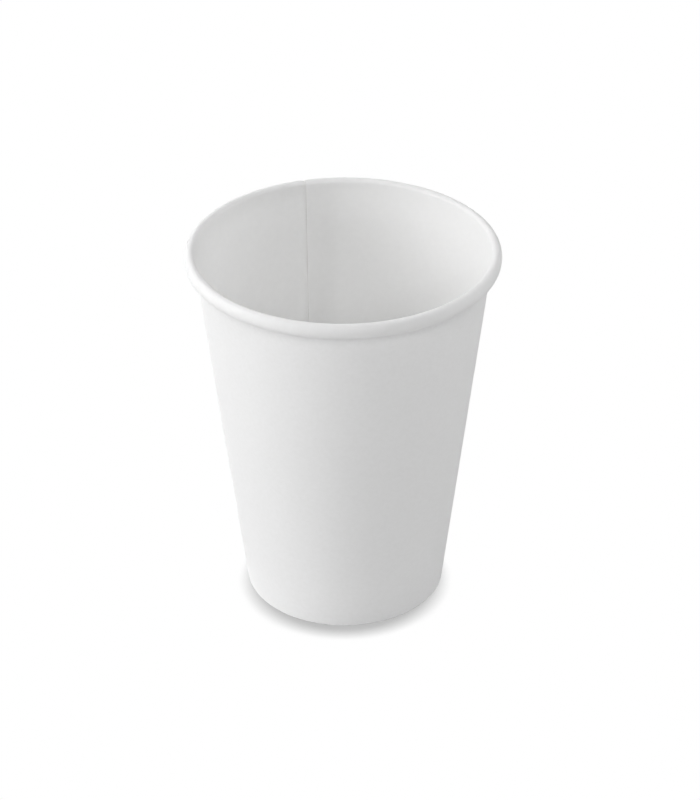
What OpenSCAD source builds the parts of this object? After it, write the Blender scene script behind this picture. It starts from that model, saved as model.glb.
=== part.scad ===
/* [Cup] */
// Outer diameter over the rolled rim
rim_d = 90; // [82:0.5:98]
// Height from the table to the top of the rolled rim
cup_h = 111; // [90:0.5:130]
// Outer diameter of the foot, where the wall meets the table
foot_d = 59; // [54:0.5:66]
// Thickness of the lined board of the side wall
wall_t = 0.33; // [0.26:0.01:0.4]

/* [Rolled rim] */
// Height of the roll, from its underside to its crown
roll_h = 4.4; // [3.8:0.1:5.2]
// How far the roll stands out from the outer face of the wall
roll_out = 2.7; // [2.5:0.1:3.2]
// Radius of the crown, which a drinker's lip meets
crown_r = 1.35; // [1.2:0.05:1.4]
// Radius of the underside, where the roll turns back to the wall
under_r = 1.2; // [1:0.05:1.3]
// Length of the free edge that stands against the wall inside the roll
tuck_l = 0.8; // [0.4:0.1:1.2]

/* [Side seam] */
// Place of the inner cut edge, in degrees round the cup from +X
seam_at = 106; // [0:1:359]
// Width over which the board lies double
seam_lap = 8; // [5:0.5:11]
// Width over which the outer ply climbs onto the inner one
seam_ramp = 1.6; // [1:0.1:2.4]

/* [Bottom and foot] */
// Thickness of the lined board of the bottom
bottom_t = 0.28; // [0.22:0.01:0.34]
// Height of the underside of the bottom above the table
bottom_up = 8; // [7:0.5:11]
// Radius of the bottom's upper edge, where it turns down into its skirt
bottom_bend = 0.8; // [0.5:0.1:1.2]
// Height of the wall's hem, folded up inside the skirt
hem_h = 6.4; // [4:0.1:6.5]
// Board left under the fold of the hem, where the press flattens the foot
foot_t = 0.27; // [0.22:0.01:0.3]
// Clearance between plies that lie against each other
ply_gap = 0.06; // [0.04:0.01:0.08]

/* [Hidden] */
$fn = 180;

// The wall leans out by the same slope from the table to the rolled rim
roll_mid_z = cup_h - roll_h / 2;
slope = (rim_d / 2 - roll_out - foot_d / 2) / roll_mid_z;
lean = atan(slope);
// Unit vectors out through the wall and up along it, as [radius, height]
out_dir = [cos(lean), -sin(lean)];
up_dir = [sin(lean), cos(lean)];

// Room between the wall and its hem, which the bottom's skirt fills
pocket = bottom_t + 2 * ply_gap;
// The skirt stands clear of the fold, also where the fold is double
skirt_z = foot_t + wall_t + pocket;

// Steps along one quarter turn of a bend
bend_steps = 8;

// The outer ply climbs onto the inner one in small steps. Each stretch of board
// runs a little way into the next, so that they are one solid.
ramp_steps = 4;
ramp_deg = degrees_of(seam_ramp, rim_d / 2);
join_deg = 0.15;
join_t = 0.05 * wall_t;
// The lap is drawn wider than it is at the narrow foot, and a straight cut ends it
lap_spare = 1.5;
lap_deg = degrees_of(lap_spare * seam_lap, foot_d / 2);
// How far a cut runs past the board
cut_past = 1;
function degrees_of(length, radius) = length / radius * 180 / PI;

// An outer ply has the longer way round a bend, so its free edges end short. The
// hem does so by millimetres, and the edge in the roll by degrees, for each
// millimetre that the ply is lifted.
hem_short = 3;
roll_short = 60;
// Where an edge that isn't tucked ends under the roll
open_end_deg = -120;

// Radius of the wall at a height. The offset is measured out through the board,
// from 0 on the lined inner face to wall_t on the outer face.
function wall_r(z, offset) = foot_d / 2 + z * slope + (offset - wall_t) / cos(lean);
function wall_point(z, offset) = [wall_r(z, offset), z];

// The side of the roll is an arc that touches the widest radius and a tighter arc
function side_r(c, r) =
    let (x = rim_d / 2 - c[0], y = c[1] - roll_mid_z)
    (x * x + y * y - r * r) / (2 * (x - r));
function side_c(c, r) = [rim_d / 2 - side_r(c, r), roll_mid_z];
function side_angle(c, r) =
    let (s = side_c(c, r))
    atan2(c[1] - s[1], c[0] - s[0]);

crown_c = wall_point(cup_h - crown_r, crown_r);
under_c = wall_point(cup_h - roll_h + under_r, wall_t + ply_gap + under_r);
fold_c = wall_point(foot_t + pocket / 2, -pocket / 2);

// The board is drawn along its lined face. A place on that face is a point and the
// direction in which the face looks.
function place(point, facing) = [point, facing];
function turn(angle) = [cos(angle), sin(angle)];
function arc_places(c, r, a0, a1, side = 1) =
    let (n = ceil(abs(a1 - a0) / 90 * bend_steps))
    [for (i = [0 : n])
        let (a = a0 + (a1 - a0) * i / n)
        place(c + r * turn(a), side * turn(a))];

// Down inside the hem and round the fold at the foot
function fold_places(lift) = concat(
    [place(wall_point(hem_h - hem_short * lift, -pocket), out_dir)],
    arc_places(fold_c, pocket / 2, 180 - lean, 360 - lean, -1)
);

// Over the crown, down the side and back under to the wall
crown_places = concat(
    arc_places(crown_c, crown_r, 180 - lean, side_angle(crown_c, crown_r)),
    arc_places(side_c(crown_c, crown_r), side_r(crown_c, crown_r),
        side_angle(crown_c, crown_r), 0)
);
function under_places(last_angle) = concat(
    arc_places(side_c(under_c, under_r), side_r(under_c, under_r),
        0, side_angle(under_c, under_r)),
    arc_places(under_c, under_r, side_angle(under_c, under_r), last_angle)
);

// The free edge inside the roll, and the shorter one of the outer ply at the seam
tucked_end = concat(
    under_places(-180 - lean),
    [place(under_c - under_r * out_dir + tuck_l * up_dir, -out_dir)]
);
function short_end(lift) = under_places(open_end_deg + roll_short * lift);

// One face of the board, at an offset behind its lined face and above a floor
function face_points(places, offset, floor_z) = [
    for (p = places)
        let (q = p[0] - offset * p[1])
        [q[0], max(q[1], floor_z)]
];
function reversed(list) = [for (i = [len(list) - 1 : -1 : 0]) list[i]];

// The board in section, between two offsets
module board_section(from, to, end) {
    places = concat(fold_places(from), crown_places, end);
    polygon(concat(
        face_points(places, from, foot_t),
        reversed(face_points(places, to, 0))
    ));
}

// A stretch of board between two angles round the cup
module board(a0, a1, from, to, end) {
    rotate([0, 0, a0])
        rotate_extrude(angle = a1 - a0)
            board_section(from, to, end);
}

// The blank is wrapped into a cone, so that its last stretch lies on its first.
// The rim is curled outwards and the foot is folded inwards through both plies.
module side_wall() {
    color("white")
        union() {
            inner_ply();
            ramp();
            outer_ply();
        }
}

// Once round the mandrel, up to where the board starts to climb onto itself
module inner_ply() {
    far = rim_d;
    difference() {
        rotate_extrude()
            board_section(0, wall_t, tucked_end);
        rotate([0, 0, seam_at])
            translate([0, 0, -cut_past])
                linear_extrude(cup_h + 2 * cut_past)
                    polygon([[0, 0], [far, 0], far * turn(ramp_deg)]);
    }
}

// The outer ply leaves the inner face and climbs onto the inner ply
module ramp() {
    for (i = [0 : ramp_steps - 1]) {
        a0 = seam_at + ramp_deg * i / ramp_steps;
        a1 = seam_at + ramp_deg * (i + 1) / ramp_steps + join_deg;
        lift = wall_t * (1 - (i + 0.5) / ramp_steps);
        board(a0, a1, lift, lift + wall_t, short_end(lift));
    }
}

// The outer ply lies on the inner one, and ends at a straight cut
module outer_ply() {
    lift = wall_t - join_t;
    difference() {
        board(seam_at - lap_deg, seam_at + join_deg, lift, 2 * wall_t, short_end(lift));
        rotate([0, 0, seam_at])
            translate([0, -seam_lap - rim_d, -cut_past])
                cube([rim_d, rim_d, cup_h + 2 * cut_past]);
    }
}

// A round blank with its edge drawn down into a skirt, held between wall and hem
bend_c = wall_point(bottom_up + bottom_t - bottom_bend, -ply_gap - bottom_bend);
bottom_places = concat(
    [place([0, bottom_up + bottom_t], [0, 1])],
    arc_places(bend_c, bottom_bend, 90, -lean),
    [place(wall_point(skirt_z, -ply_gap), out_dir)]
);
module bottom() {
    color("white")
        rotate_extrude()
            polygon(concat(
                face_points(bottom_places, 0, skirt_z),
                reversed(face_points(bottom_places, bottom_t, skirt_z))
            ));
}

side_wall();
bottom();
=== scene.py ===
# %% [markdown]
# # A paper cup for hot drinks
#
# The cup is made of two blanks of lined white board. The side wall is one fan-shaped
# blank, wrapped into a cone, with its top edge rolled outwards and its foot folded up
# inside. The bottom is a round blank that is held between the wall and its hem.
#
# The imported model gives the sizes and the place. This script gives the board its thin
# plies, its satin lining and its raw cut edges, and sets up the light and the camera.

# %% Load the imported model
import math

import bmesh
import bpy
from mathutils import Matrix, Vector


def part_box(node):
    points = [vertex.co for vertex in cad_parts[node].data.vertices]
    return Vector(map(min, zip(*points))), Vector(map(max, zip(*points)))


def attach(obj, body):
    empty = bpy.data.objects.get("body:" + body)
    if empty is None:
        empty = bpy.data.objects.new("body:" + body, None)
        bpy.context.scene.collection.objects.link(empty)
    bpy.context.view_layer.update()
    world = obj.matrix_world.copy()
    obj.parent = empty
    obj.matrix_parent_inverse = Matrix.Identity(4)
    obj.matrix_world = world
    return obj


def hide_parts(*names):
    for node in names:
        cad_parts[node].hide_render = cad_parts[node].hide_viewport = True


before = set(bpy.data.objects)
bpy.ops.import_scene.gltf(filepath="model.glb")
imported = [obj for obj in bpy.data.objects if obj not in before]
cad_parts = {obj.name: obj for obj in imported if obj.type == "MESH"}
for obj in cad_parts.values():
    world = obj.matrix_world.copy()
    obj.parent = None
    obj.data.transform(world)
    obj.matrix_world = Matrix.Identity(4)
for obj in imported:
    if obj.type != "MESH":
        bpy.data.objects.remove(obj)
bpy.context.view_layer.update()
print("nodes", sorted(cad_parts))

# %% [markdown]
# ## Sizes
#
# Every length is in metres. The rim and the height come from the frame, and the rest are
# the sizes that a mandrel, a curling tool and a press give this board.

# %% Sizes of the wall and the bottom
MM = 0.001
wall_low, wall_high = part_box("side_wall")
bottom_low, bottom_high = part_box("bottom")
cup_h = wall_high[2]
bottom_top = bottom_high[2]
# Outer radius of the rim, and of the foot where it meets the table
rim_r = (wall_high[0] - wall_low[0]) / 2
foot_r = 29.5 * MM
# Thickness of the two boards
board_t = 0.33 * MM
bottom_t = 0.28 * MM
print("cup", round(cup_h / MM, 2), "mm high, rim", round(2 * rim_r / MM, 2), "mm")

# %% Sizes of the roll, the seam and the hem
# The roll: its height, and how far it stands out from the wall
roll_h = 4.4 * MM
roll_out = 2.7 * MM
# Radii of its crown and its underside, and the free edge that is tucked inside
crown_r = 1.35 * MM
under_r = 1.2 * MM
tuck_l = 0.8 * MM
# The seam: where its inner cut edge is, its lap, and the width of the climb
seam_at = math.radians(106)
seam_lap = 8 * MM
seam_ramp = 1.6 * MM
# The hem's height, the board left under its pressed fold, and the gap between plies
hem_h = 6.4 * MM
foot_t = 0.27 * MM
ply_gap = 0.06 * MM
print("roll, lap and hem in mm:", [round(size / MM, 1) for size in (roll_h, seam_lap, hem_h)])

# %% The wall's slope, and points beside it
roll_mid = cup_h - roll_h / 2
slope = (rim_r - roll_out - foot_r) / roll_mid
lean = math.atan(slope)
outward = Vector((math.cos(lean), -math.sin(lean)))
upward = Vector((math.sin(lean), math.cos(lean)))
pocket = bottom_t + 2 * ply_gap


def beside_wall(z, offset):
    """A point in section, as (radius, height), at an offset out from the lined face."""
    return Vector((foot_r + z * slope + (offset - board_t) / math.cos(lean), z))


print("the wall leans out by", round(math.degrees(lean), 2), "degrees")

# %% [markdown]
# ## The path of the board, in section
#
# A rolled rim is hard to draw as a solid, but easy as a line with a thickness. The lined
# face of the board is drawn first, as straight runs and arcs, and each place on it keeps
# the direction in which the face looks. The back of the board lies one thickness behind.

# %% Arcs and straight runs of the lined face
ARC_STEP = math.radians(7.5)


def arc(centre, radius, start, end, side=1):
    """Places along an arc. Each is a point and the way the lined face looks there."""
    count = max(2, math.ceil(abs(end - start) / ARC_STEP))
    places = []
    for i in range(count + 1):
        a = start + (end - start) * i / count
        ray = Vector((math.cos(a), math.sin(a)))
        places.append((centre + radius * ray, side * ray))
    return places


def run(start, end, facing, steps):
    """Places along a straight run, without its last point."""
    return [(start.lerp(end, i / steps), facing) for i in range(steps)]


def side_arc(centre, radius):
    """The wide arc on the side of the roll: its centre, radius and where it starts."""
    x, y = rim_r - centre.x, centre.y - roll_mid
    wide = (x * x + y * y - radius * radius) / (2 * (x - radius))
    middle = Vector((rim_r - wide, roll_mid))
    return middle, wide, math.atan2(y, centre.x - middle.x)


print("a quarter turn is drawn in", round(math.pi / 2 / ARC_STEP), "steps")

# %% Foot, wall and roll joined into one path
HEM_STEPS = 6
WALL_STEPS = 24
crown = beside_wall(cup_h - crown_r, crown_r)
under = beside_wall(cup_h - roll_h + under_r, board_t + ply_gap + under_r)
fold = beside_wall(foot_t + pocket / 2, -pocket / 2)

hem = arc(fold, pocket / 2, math.pi - lean, 2 * math.pi - lean, -1)
hem_run = run(beside_wall(hem_h, -pocket), hem[0][0], outward, HEM_STEPS)
crown_middle, crown_wide, crown_turn = side_arc(crown, crown_r)
under_middle, under_wide, under_turn = side_arc(under, under_r)
crown_arc = arc(crown, crown_r, math.pi - lean, crown_turn)
side_down = arc(crown_middle, crown_wide, crown_turn, 0)
side_under = arc(under_middle, under_wide, 0, under_turn)
under_arc = arc(under, under_r, under_turn, -math.pi - lean)
tuck_start = under - under_r * outward
tuck = [(tuck_start + tuck_l * upward, -outward)]
wall_run = run(hem[-1][0], crown_arc[0][0], -outward, WALL_STEPS)
path = (hem_run + hem[:-1] + wall_run + crown_arc[:-1]
        + side_down[:-1] + side_under[:-1] + under_arc + tuck)
# The places from here on lie under the roll, where its edge is tucked in
TUCK_FROM = len(path) - len(under_arc) - len(tuck)
print("the path has", len(path), "places")

# %% [markdown]
# ## Finding the length of board in the cup
#
# The blank is as long as the path, so its height before forming can be read off. It shows
# how much board goes into the rim and the hem.

# %% Length of the blank
blank = sum((a[0] - b[0]).length for a, b in zip(path, path[1:]))
print("the blank is", round(blank / MM, 1), "mm from edge to edge")

# %% [markdown]
# ## The side wall
#
# The real blank is wrapped once round a mandrel and then laps over its own start. A full
# turn of the section would give a closed ring without a seam. So the section is spun a
# little more than a turn, and the last stretch is lifted off the first one by the
# thickness of the board. The blank then has two free cut edges, as the real one has.

# %% Angles of the wrap
TURN = 2 * math.pi
ramp_angle = seam_ramp / rim_r
lap_angle = seam_lap / rim_r
# Each run is an angle and the steps to draw it in. They are finer at the seam.
RUNS = [
    (lap_angle, 6),
    (ramp_angle, 6),
    (math.pi - lap_angle - ramp_angle, 130),
    (math.pi - ramp_angle, 132),
    (ramp_angle, 8),
    (lap_angle, 6),
]
print("the wrap covers", round(math.degrees(sum(angle for angle, _ in RUNS)), 2), "degrees")


# %% Draw the section of a board
def section(bm, places, thickness, layers):
    """The closed outline of a board in section, in the XZ plane."""
    rows = []
    for depth in (0.0, thickness):
        row = []
        for i, (point, facing) in enumerate(places):
            at = point - depth * facing
            v = bm.verts.new((at.x, 0, at.y))
            v[layers["r"]], v[layers["z"]] = facing
            v[layers["depth"]] = depth
            v[layers["place"]] = float(i)
            row.append(v)
        rows.append(row)
    lined, back = rows
    chains = [[bm.edges.new(pair) for pair in zip(row, row[1:])] for row in rows]
    ends = [bm.edges.new((lined[0], back[0])), bm.edges.new((lined[-1], back[-1]))]
    return lined + back, chains[0] + chains[1] + ends


def board_layers(bm):
    """What each point of a board remembers: the way it faces, its depth and its place."""
    names = ("r", "z", "depth", "place", "wrap")
    return {name: bm.verts.layers.float.new(name) for name in names}


print("a section of the wall has", 2 * len(path), "points")

# %% Spin the section round the mandrel, and note how far round each point lies
wall_bm = bmesh.new()
layers = board_layers(wall_bm)
verts, edges = section(wall_bm, path, board_t, layers)
geom = verts + edges
section_size = len(verts)
first_edges = list(edges)
wrapped = 0.0
for angle, steps in RUNS:
    before = len(wall_bm.verts)
    spun = bmesh.ops.spin(wall_bm, geom=geom, cent=(0, 0, 0), axis=(0, 0, 1),
                          angle=angle, steps=steps, use_merge=False, use_duplicate=False)
    geom = spun["geom_last"]
    wall_bm.verts.ensure_lookup_table()
    # The new points come one section after another
    for k, v in enumerate(wall_bm.verts[before:]):
        v[layers["wrap"]] = wrapped + angle * (k // section_size + 1) / steps
    wrapped += angle
last_edges = [g for g in geom if isinstance(g, bmesh.types.BMEdge)]
print("the wall has", len(wall_bm.verts), "points")

# %% [markdown]
# ## The seam
#
# Each point of the wall now knows how far round the wrap it is. Near the end the board
# climbs, so that it clears the ply that is already there. In the roll the same climb goes
# inwards, because the lined face is on the outside there. The cut edge at the end is kept
# straight, at one width from rim to foot.
#
# A blank never meets the mandrel quite square, so the seam leans a little. Turning each
# height of the cone by its own small angle does that, and changes nothing else.

# %% Where the board lies double, and how far it is lifted there
SEAM_CLEARANCE = 0.01 * MM


def ease(x):
    """0 before 0, 1 after 1, and a smooth rise between."""
    x = min(max(x, 0.0), 1.0)
    return x * x * (3 - 2 * x)


def lift_at(wrap):
    """How far the board stands off the mandrel at an angle of the wrap."""
    return (board_t + SEAM_CLEARANCE) * ease((wrap - TURN + ramp_angle) / ramp_angle)


def double_at(wrap):
    """1 where the board lies double, and 0 away from the seam."""
    if wrap < math.pi:
        return 1 - ease((wrap - lap_angle) / ramp_angle)
    return ease((wrap - TURN + ramp_angle) / ramp_angle)


print("the outer ply stands", round(lift_at(TURN) / MM, 2), "mm off the mandrel")

# %% Lift the outer ply, press the foot flat and lean the seam
# The lean is in radians for each metre of height. The board at SKEW_ROUND stays in place.
SEAM_SKEW = 0.65
SKEW_ROUND = 82 * MM
tuck_places = len(path) - TUCK_FROM


def wrap_point(v):
    """Puts one point of the spun board where the wrap has it."""
    wrap, depth = v[layers["wrap"]], v[layers["depth"]]
    radius = math.hypot(v.co.x, v.co.y)
    angle = wrap if wrap < TURN else TURN + (wrap - TURN) * rim_r / radius
    lift = lift_at(wrap)
    r = radius - lift * v[layers["r"]]
    z = v.co.z - lift * v[layers["z"]]
    # The tucked edge gives way outwards, because the wall is double behind it
    tucked = (v[layers["place"]] - TUCK_FROM) / tuck_places
    if tucked > 0:
        r += double_at(wrap) * ease(2 * tucked) * board_t
    # The press flattens each ply of the foot onto the table, or onto the ply below it
    lowest = 0.0 if depth > 0 else foot_t
    if wrap < math.pi:
        lowest += double_at(wrap) * foot_t
    z = max(z, lowest)
    angle += SEAM_SKEW * (z - SKEW_ROUND)
    v.co = Vector((r * math.cos(angle), r * math.sin(angle), z))


for v in wall_bm.verts:
    wrap_point(v)
# The wrap runs clockwise from the seam, seen from above
wall_bm.transform(Matrix.Scale(-1, 4, (0, 1, 0)))
wall_bm.transform(Matrix.Rotation(seam_at, 4, "Z"))
print("from foot to rim the seam turns by", round(math.degrees(SEAM_SKEW * cup_h), 1), "degrees")


# %% Close the two cut edges and turn the normals out
def chain_edges(edges, deep):
    """The edges of one section that lie on the lined face, or on the back."""
    return [e for e in edges if all((v[layers["depth"]] > 0) == deep for v in e.verts)]


for edges in (first_edges, last_edges):
    bmesh.ops.bridge_loops(wall_bm, edges=chain_edges(edges, False) + chain_edges(edges, True))
bmesh.ops.recalc_face_normals(wall_bm, faces=wall_bm.faces)
print("faces", len(wall_bm.faces), "open edges", sum(not e.is_manifold for e in wall_bm.edges))


# %% [markdown]
# ## From a bent board to a piece
#
# A board has two faces and a thin cut edge between them, and each looks different. Every
# point still knows its depth in the board and its place on the path, so a face gets its
# finish from those two, wherever the bends have taken it.

# %% Finish a board: one mesh, its materials by where a face lies
LINED, BACK, CUT, PRESSED = 0, 1, 2, 3


def face_kind(face, layers):
    """Lined face, back of the board, cut edge, or the pressed inside of a hem."""
    depths = [v[layers["depth"]] for v in face.verts]
    if max(depths) == 0:
        return LINED
    if min(depths) == 0:
        return CUT
    return PRESSED if max(v[layers["place"]] for v in face.verts) <= HEM_STEPS else BACK


def finish_board(bm, name, layers, materials):
    """Turns a bmesh board into a piece, with a finish on each face."""
    for f in bm.faces:
        f.material_index = min(face_kind(f, layers), len(materials) - 1)
        f.smooth = True
    # The line between two finishes is sharp
    for e in bm.edges:
        kinds = {f.material_index for f in e.link_faces}
        e.smooth = len(kinds) < 2
    mesh = bpy.data.meshes.new(name)
    bm.to_mesh(mesh)
    bm.free()
    for m in materials:
        mesh.materials.append(m)
    piece = bpy.data.objects.new(name, mesh)
    bpy.context.scene.collection.objects.link(piece)
    print(name, "has", len(mesh.polygons), "faces")
    return piece


# %% [markdown]
# ## The board's finishes
#
# Cup board is matt and faintly mottled outside, where bare fibre shows. Inside it has a
# thin film that seals it, which gives a soft satin sheen. A cut edge shows the core, a
# little creamier and rougher. Each is one Principled shader with a fine noise in its
# bump, at the scale of the fibres, because a flat white would look like plastic.
#
# Board this thin also lets some light through. It is what makes the inside of a white cup
# glow a little. So the light wanders under the surface for about as far as the board is
# thick, and some of it leaves on the other side.

# %% A shader for thin board
LIGHT_STRAY = 0.18 * MM


def shader(name, color, roughness, specular):
    """A new material with one Principled shader."""
    mat = bpy.data.materials.new(name)
    mat.use_nodes = True
    nodes = mat.node_tree.nodes
    bsdf = nodes["Principled BSDF"]
    bsdf.inputs["Base Color"].default_value = (*color, 1)
    bsdf.inputs["Roughness"].default_value = roughness
    bsdf.inputs["Specular IOR Level"].default_value = specular
    bsdf.inputs["Subsurface Weight"].default_value = 1.0
    bsdf.inputs["Subsurface Radius"].default_value = (1, 1, 1)
    bsdf.inputs["Subsurface Scale"].default_value = LIGHT_STRAY
    return mat, bsdf


print("light strays", round(LIGHT_STRAY / MM, 2), "mm inside the board")


# %% Two textures: the noise of fibres, and pressed ribs
def noise(mat, scale, detail):
    """A noise on the piece's own coordinates, in cycles per metre."""
    nodes, links = mat.node_tree.nodes, mat.node_tree.links
    coords = nodes.new("ShaderNodeTexCoord")
    tex = nodes.new("ShaderNodeTexNoise")
    tex.inputs["Scale"].default_value = scale
    tex.inputs["Detail"].default_value = detail
    links.new(coords.outputs["Object"], tex.inputs["Vector"])
    return tex


def ribs(mat, count):
    """A wave that runs round the cup, with so many ribs in one turn."""
    nodes, links = mat.node_tree.nodes, mat.node_tree.links
    coords = nodes.new("ShaderNodeTexCoord")
    parts = nodes.new("ShaderNodeSeparateXYZ")
    angle, turned, wave = (nodes.new("ShaderNodeMath") for _ in range(3))
    angle.operation, turned.operation, wave.operation = "ARCTAN2", "MULTIPLY", "SINE"
    turned.inputs[1].default_value = count
    links.new(coords.outputs["Object"], parts.inputs[0])
    links.new(parts.outputs["Y"], angle.inputs[0])
    links.new(parts.outputs["X"], angle.inputs[1])
    links.new(angle.outputs[0], turned.inputs[0])
    links.new(turned.outputs[0], wave.inputs[0])
    return wave


# %% Two uses of a texture: small heights, and a colour that wanders
MOTTLE_FROM, MOTTLE_TO = 0.35, 0.65


def bump(mat, bsdf, textures, strength, distance):
    """Adds the textures' heights one above another."""
    nodes, links = mat.node_tree.nodes, mat.node_tree.links
    last = None
    for tex in textures:
        b = nodes.new("ShaderNodeBump")
        b.inputs["Strength"].default_value = strength
        b.inputs["Distance"].default_value = distance
        links.new(tex.outputs[0], b.inputs["Height"])
        if last:
            links.new(last.outputs[0], b.inputs["Normal"])
        last = b
    links.new(last.outputs[0], bsdf.inputs["Normal"])


def mottle(mat, bsdf, tex, dark, light):
    """The board's colour wanders a little between two near whites."""
    nodes, links = mat.node_tree.nodes, mat.node_tree.links
    ramp = nodes.new("ShaderNodeValToRGB")
    ramp.color_ramp.elements[0].position = MOTTLE_FROM
    ramp.color_ramp.elements[1].position = MOTTLE_TO
    ramp.color_ramp.elements[0].color = (*dark, 1)
    ramp.color_ramp.elements[1].color = (*light, 1)
    links.new(tex.outputs[0], ramp.inputs[0])
    links.new(ramp.outputs[0], bsdf.inputs["Base Color"])


# %% Bare board, lined board, cut edge and the ribs that a wheel presses inside the hem
HEM_RIBS = 150
FIBRE_HEIGHT = 0.02 * MM
CORE_HEIGHT = 0.03 * MM
RIB_HEIGHT = 0.05 * MM

bare, bsdf = shader("bare_board", (0.93, 0.93, 0.93), roughness=0.62, specular=0.35)
wander = noise(bare, scale=900, detail=3)
mottle(bare, bsdf, wander, dark=(0.92, 0.92, 0.918), light=(0.94, 0.94, 0.94))
fibres = [noise(bare, scale=2600, detail=4), noise(bare, scale=420, detail=2)]
bump(bare, bsdf, fibres, strength=0.25, distance=FIBRE_HEIGHT)

lining, bsdf = shader("lined_board", (0.932, 0.93, 0.922), roughness=0.55, specular=0.25)
wander = noise(lining, scale=600, detail=2)
mottle(lining, bsdf, wander, dark=(0.926, 0.924, 0.916), light=(0.938, 0.936, 0.928))
bump(lining, bsdf, [noise(lining, scale=700, detail=2)], strength=0.18, distance=FIBRE_HEIGHT)

cut, bsdf = shader("cut_edge", (0.8, 0.79, 0.76), roughness=0.85, specular=0.2)
wander = noise(cut, scale=4000, detail=4)
mottle(cut, bsdf, wander, dark=(0.74, 0.73, 0.7), light=(0.86, 0.85, 0.83))
bump(cut, bsdf, [noise(cut, scale=6000, detail=3)], strength=0.4, distance=CORE_HEIGHT)

pressed, bsdf = shader("pressed_board", (0.93, 0.93, 0.93), roughness=0.62, specular=0.35)
wander = noise(pressed, scale=900, detail=3)
mottle(pressed, bsdf, wander, dark=(0.92, 0.92, 0.918), light=(0.94, 0.94, 0.94))
bump(pressed, bsdf, [ribs(pressed, HEM_RIBS)], strength=0.8, distance=RIB_HEIGHT)
print("finishes", [m.name for m in (bare, lining, cut, pressed)])

# %% The side wall as a piece
side_wall = finish_board(wall_bm, "side_wall_board", layers, (lining, bare, cut, pressed))
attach(side_wall, "root")
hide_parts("side_wall")

# %% [markdown]
# ## The bottom
#
# The bottom is drawn from a flat round blank in a die, which turns its edge down into a
# skirt. It is a full turn of one bent section, so it is spun with its ends merged, and
# the pole at its centre is closed.

# %% Draw and spin the bottom
DISC_STEPS = 12
ROUND_STEPS = 180
SAME_POINT = 1e-6
bottom_bend = 0.8 * MM
skirt_z = bottom_low[2]
bend_centre = beside_wall(bottom_top - bottom_bend, -ply_gap - bottom_bend)
bend_arc = arc(bend_centre, bottom_bend, math.pi / 2, -lean)
disc_run = run(Vector((0, bottom_top)), bend_arc[0][0], Vector((0, 1)), DISC_STEPS)
skirt = [(beside_wall(skirt_z, -ply_gap), outward)]
bottom_path = disc_run + bend_arc + skirt

bottom_bm = bmesh.new()
bottom_layers = board_layers(bottom_bm)
verts, edges = section(bottom_bm, bottom_path, bottom_t, bottom_layers)
bmesh.ops.spin(bottom_bm, geom=verts + edges, cent=(0, 0, 0), axis=(0, 0, 1),
               angle=TURN, steps=ROUND_STEPS, use_merge=True, use_duplicate=False)
bmesh.ops.remove_doubles(bottom_bm, verts=bottom_bm.verts, dist=SAME_POINT)
# The section's end on the axis would leave a wall of no width there
axis_faces = [f for f in bottom_bm.faces
              if all(math.hypot(v.co.x, v.co.y) < SAME_POINT for v in f.verts)]
bmesh.ops.delete(bottom_bm, geom=axis_faces, context="FACES")
axis_edges = [e for e in bottom_bm.edges if not e.link_faces]
bmesh.ops.delete(bottom_bm, geom=axis_edges, context="EDGES")
bmesh.ops.recalc_face_normals(bottom_bm, faces=bottom_bm.faces)
print("bottom open edges", sum(not e.is_manifold for e in bottom_bm.edges))

# %% The bottom as a piece
bottom = finish_board(bottom_bm, "bottom_board", bottom_layers, (lining, bare, cut, bare))
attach(bottom, "root")
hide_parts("bottom")

# %% [markdown]
# ## Camera
#
# The picture is taken with a long lens from about 32 degrees above the table. The lens is
# given in pixels of a 700 by 800 picture, and turned into the millimetres of a 36 mm
# frame, which spans the longer side.

# %% Set up the camera
PICTURE_H = 800
FOCAL_PX = 2600
FRAME_MM = 36
NEAREST, FARTHEST = 0.01, 20
camera_dist = 8.4691 * 2 * rim_r
camera_rise = math.radians(31.754)
camera_yaw = math.radians(0.13)
camera_roll = math.radians(-0.357)
aim_z = 0.6694 * 2 * rim_r

cam = bpy.data.cameras.new("camera")
cam.lens = FOCAL_PX * FRAME_MM / PICTURE_H
cam.sensor_width = FRAME_MM
cam.clip_start, cam.clip_end = NEAREST, FARTHEST
camera = bpy.data.objects.new("camera", cam)
bpy.context.scene.collection.objects.link(camera)
# It looks down at the cup, then turns a little sideways and about its own line of sight
forward = Vector((0, math.cos(camera_rise), -math.sin(camera_rise)))
right = Vector((1, 0, 0))
up = right.cross(forward)
forward, right = (math.cos(camera_yaw) * forward + math.sin(camera_yaw) * right,
                  math.cos(camera_yaw) * right - math.sin(camera_yaw) * forward)
right, up = (math.cos(camera_roll) * right + math.sin(camera_roll) * up,
             math.cos(camera_roll) * up - math.sin(camera_roll) * right)
back = Vector((0, -math.cos(camera_rise), math.sin(camera_rise)))
spot = Vector((0, 0, aim_z)) + camera_dist * back
turn = Matrix((right, up, -forward)).transposed().to_4x4()
camera.matrix_world = Matrix.Translation(spot) @ turn
bpy.context.scene.camera = camera
print("lens", round(cam.lens, 1), "mm, camera", round(camera_dist, 3), "m from the cup")

# %% [markdown]
# ## Floor
#
# The cup stands on white, with no horizon. The floor and the world look white to the
# camera. What falls on the cup is another matter, and there the floor is a pale grey that
# throws some light back up under the roll.

# %% Floor
FLOOR_REACH = 4.0
floor_bm = bmesh.new()
bmesh.ops.create_grid(floor_bm, x_segments=2, y_segments=2, size=FLOOR_REACH)
floor_mesh = bpy.data.meshes.new("floor")
floor_bm.to_mesh(floor_mesh)
floor_bm.free()
floor = bpy.data.objects.new("floor", floor_mesh)
bpy.context.scene.collection.objects.link(floor)
print("the floor reaches", FLOOR_REACH, "m each way")


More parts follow.
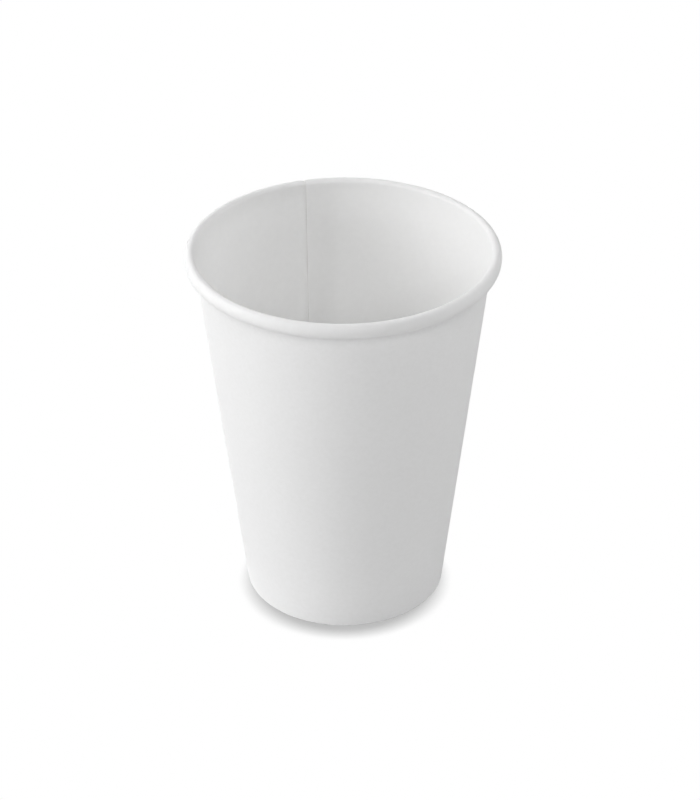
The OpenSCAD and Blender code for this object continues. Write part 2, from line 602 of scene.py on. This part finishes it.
# %% What the camera sees is parted from what lights the cup
def seen_directly(tree):
    """1 for what the camera sees, itself or in a shine, and 0 for light on other things."""
    paths = tree.nodes.new("ShaderNodeLightPath")
    last = paths.outputs["Is Camera Ray"]
    for kind in ("Is Glossy Ray", "Is Transmission Ray"):
        either = tree.nodes.new("ShaderNodeMath")
        either.operation = "MAXIMUM"
        tree.links.new(last, either.inputs[0])
        tree.links.new(paths.outputs[kind], either.inputs[1])
        last = either.outputs[0]
    return last


print("seen directly: camera, glossy and transmission rays")

# %% [markdown]
# ## The shadow at the foot
#
# Under broad light a cup casts hardly any shadow. What shows is a thin dark line where the
# foot keeps the light off the table. The floor finds it by how much of the sky each place
# sees within a few millimetres. It looks up and towards the back, so that the line lies
# along the front of the foot.

# %% Floor finish
# FLOOR_GREY is what the floor throws back onto the cup. The shadow fades between two
# shares of open sky, down to CONTACT_LEVEL.
FLOOR_GREY = 0.8
SHADOW_REACH = 12 * MM
SHADOW_LEAN = math.radians(40)
SHADOW_FROM, SHADOW_TO = 0.35, 0.65
SHADOW_SAMPLES = 32
CONTACT_LEVEL = 0.5
floor_mat = bpy.data.materials.new("white_floor")
floor_mat.use_nodes = True
tree = floor_mat.node_tree
tree.nodes.clear()
diffuse = tree.nodes.new("ShaderNodeBsdfDiffuse")
diffuse.inputs["Color"].default_value = (FLOOR_GREY, FLOOR_GREY, FLOOR_GREY, 1)
open_sky = tree.nodes.new("ShaderNodeAmbientOcclusion")
open_sky.samples = SHADOW_SAMPLES
open_sky.inputs["Distance"].default_value = SHADOW_REACH
lean_normal = tree.nodes.new("ShaderNodeCombineXYZ")
lean_normal.inputs["Y"].default_value = math.sin(SHADOW_LEAN)
lean_normal.inputs["Z"].default_value = math.cos(SHADOW_LEAN)
tree.links.new(lean_normal.outputs[0], open_sky.inputs["Normal"])
level = tree.nodes.new("ShaderNodeMapRange")
level.inputs["From Min"].default_value = SHADOW_FROM
level.inputs["From Max"].default_value = SHADOW_TO
level.inputs["To Min"].default_value = CONTACT_LEVEL
level.inputs["To Max"].default_value = 1.0
tree.links.new(open_sky.outputs["AO"], level.inputs["Value"])
glow = tree.nodes.new("ShaderNodeEmission")
tree.links.new(level.outputs[0], glow.inputs["Strength"])
pick = tree.nodes.new("ShaderNodeMixShader")
tree.links.new(seen_directly(tree), pick.inputs[0])
tree.links.new(diffuse.outputs[0], pick.inputs[1])
tree.links.new(glow.outputs[0], pick.inputs[2])
out = tree.nodes.new("ShaderNodeOutputMaterial")
tree.links.new(pick.outputs[0], out.inputs["Surface"])
floor_mesh.materials.append(floor_mat)
print("the shadow reaches", round(SHADOW_REACH / MM, 1), "mm from the foot")

# %% [markdown]
# ## Light
#
# A white cup on white shows nothing but light, so the lamps matter more here than the
# finish does. The light is broad and comes mostly from the left, so the wall darkens slowly
# from left to right. The lamps give all of it, and the world only looks white.

# %% World: white behind the cup, and no light of its own
WORLD_LIGHT = 0.0
world = bpy.data.worlds.new("white_room")
bpy.context.scene.world = world
world.use_nodes = True
background = world.node_tree.nodes["Background"]
background.inputs["Color"].default_value = (1, 1, 1, 1)
world_mix = world.node_tree.nodes.new("ShaderNodeMix")
world_mix.data_type = "FLOAT"
world_mix.inputs["A"].default_value = WORLD_LIGHT
world_mix.inputs["B"].default_value = 1.0
world.node_tree.links.new(seen_directly(world.node_tree), world_mix.inputs["Factor"])
world.node_tree.links.new(world_mix.outputs["Result"], background.inputs["Strength"])
print("the world looks white and gives", WORLD_LIGHT, "light")

# %% Lamps
# Each lamp is a round panel: degrees round from the front towards the right, degrees up,
# width in metres and watts. All stand at one distance. A broad one looks at the middle of
# the cup, and a narrow one at its rim.
LAMP_DIST = 1.2
BROAD, NARROW = 0.7, 0.12
AIM_HEIGHT = {BROAD: 0.05, NARROW: 0.1}
LAMPS = {
    "window_left": (-115, 42, BROAD, 3.0),
    "window_near": (-75, 42, BROAD, 2.4),
    "window_back": (-150, 25, BROAD, 2.7),
    "low_left": (-80, 12, BROAD, 3.2),
    "left": (-80, 25, BROAD, 2.5),
    "right_high": (100, 42, BROAD, 1.5),
    "right_back": (120, 25, BROAD, 3.2),
    "right": (75, 25, BROAD, 0.9),
    "front": (5, 42, BROAD, 5.0),
    "low_front": (0, 9, NARROW, 0.4),
}
for name, (turned, raised, width, watts) in LAMPS.items():
    turned, raised = math.radians(turned), math.radians(raised)
    aim = Vector((0, 0, AIM_HEIGHT[width]))
    way = Vector((math.sin(turned) * math.cos(raised),
                  -math.cos(turned) * math.cos(raised),
                  math.sin(raised)))
    lamp = bpy.data.lights.new(name, "AREA")
    lamp.shape = "DISK"
    lamp.size = width
    lamp.energy = watts
    lamp_object = bpy.data.objects.new(name, lamp)
    bpy.context.scene.collection.objects.link(lamp_object)
    lamp_object.location = aim + LAMP_DIST * way
    lamp_object.rotation_euler = (-way).to_track_quat("-Z", "Y").to_euler()
print("lamps", list(LAMPS))

# %% Colours are shown as they are, without a film look
bpy.context.scene.view_settings.view_transform = "Standard"
print("view transform", bpy.context.scene.view_settings.view_transform)
